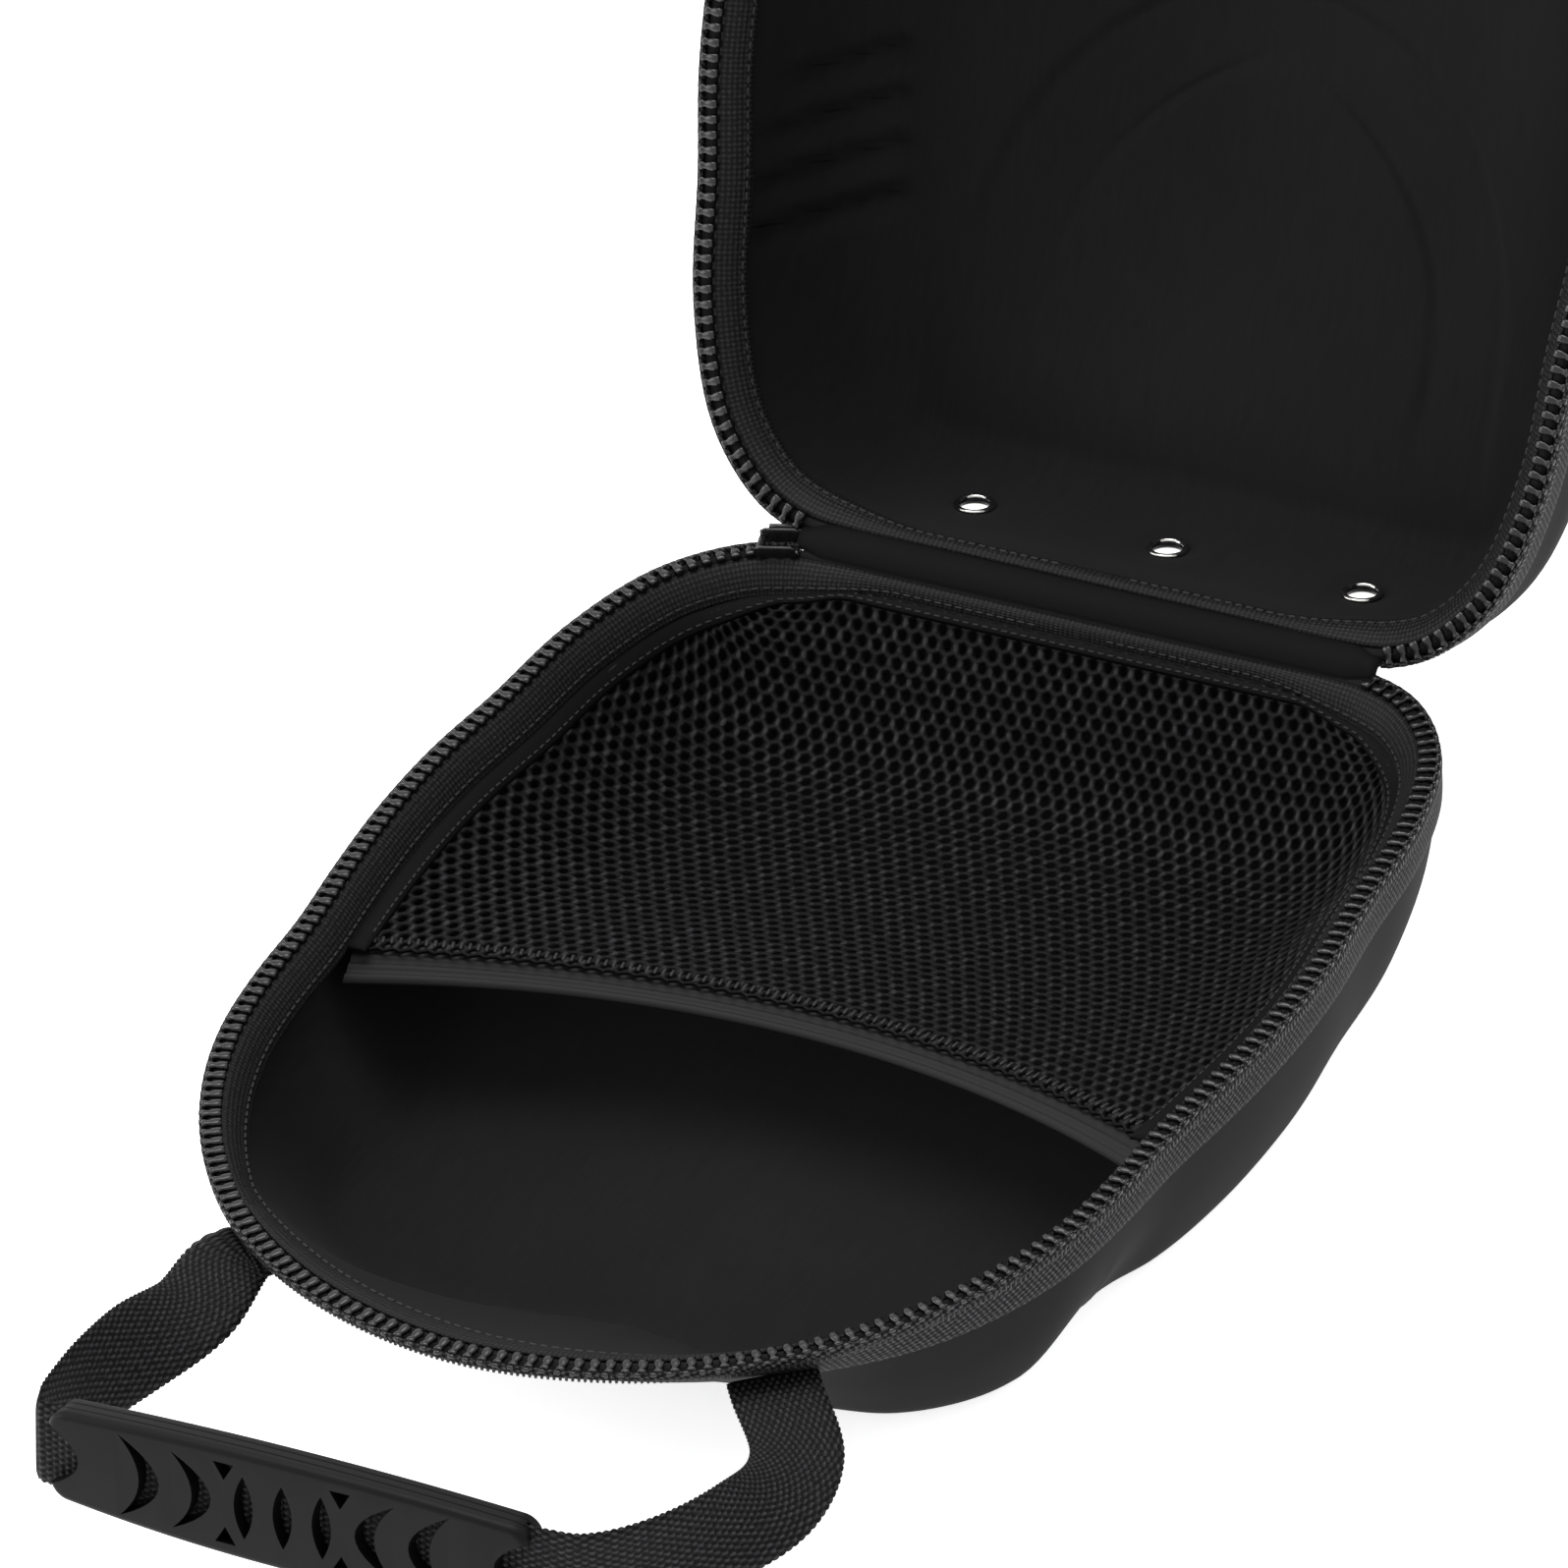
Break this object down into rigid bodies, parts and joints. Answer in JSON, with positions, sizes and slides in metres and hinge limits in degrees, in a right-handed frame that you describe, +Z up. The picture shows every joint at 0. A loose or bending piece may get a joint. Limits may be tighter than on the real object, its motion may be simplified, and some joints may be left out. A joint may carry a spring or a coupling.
{
  "type": "baseball cap carrier case",
  "caption": "Moulded clamshell carrier case for a baseball cap, shown open: shallow tray with a mesh pocket, domed hinged lid, zipper and a webbing handle with a moulded grip.",
  "frame": {"origin": "on the flat bottom of the tray, which is the floor it rests on, under the middle of the tray's rim", "axes": "+Z up; +Y towards the hinge; -Y towards the handle; +X across the case"},
  "size_m": [0.224, 0.4917, 0.3125],
  "materials": {
    "shell": "smooth knit laminated on moulded foam, matte black",
    "binding": "satin woven seam binding, black",
    "zipper_tape": "woven polyester tape, black",
    "zipper_teeth": "moulded, semi-gloss black",
    "slider": "cast, black enamel",
    "mesh": "knitted air mesh, black",
    "elastic": "ribbed woven elastic, black",
    "eyelets": "polished nickel plate",
    "hinge_fabric": "woven strip, black",
    "webbing": "heavy rib-woven webbing, black",
    "grip": "moulded, satin black"
  },
  "bodies": {
    "tray": {"tray_shell": "shell", "tray_binding": "binding", "tray_zipper_tape": "zipper_tape", "tray_zipper_teeth": "zipper_teeth", "zip_slider": "slider", "mesh_pocket": "mesh", "pocket_elastic": "elastic", "hinge_strip": "hinge_fabric", "handle_webbing": "webbing", "handle_grip": "grip"},
    "lid": {"lid_shell": "shell", "lid_binding": "binding", "lid_zipper_tape": "zipper_tape", "lid_zipper_teeth": "zipper_teeth", "eyelet_left": "eyelets", "eyelet_middle": "eyelets", "eyelet_right": "eyelets"}
  },
  "joints": [
    {"name": "lid_hinge", "type": "hinge", "parent": "tray", "child": "lid", "pos_m": [0, 0.1459, 0.048], "axis": [-1, 0, 0], "range_deg": [-115, 25], "deforming": ["hinge_strip"]}
  ]
}
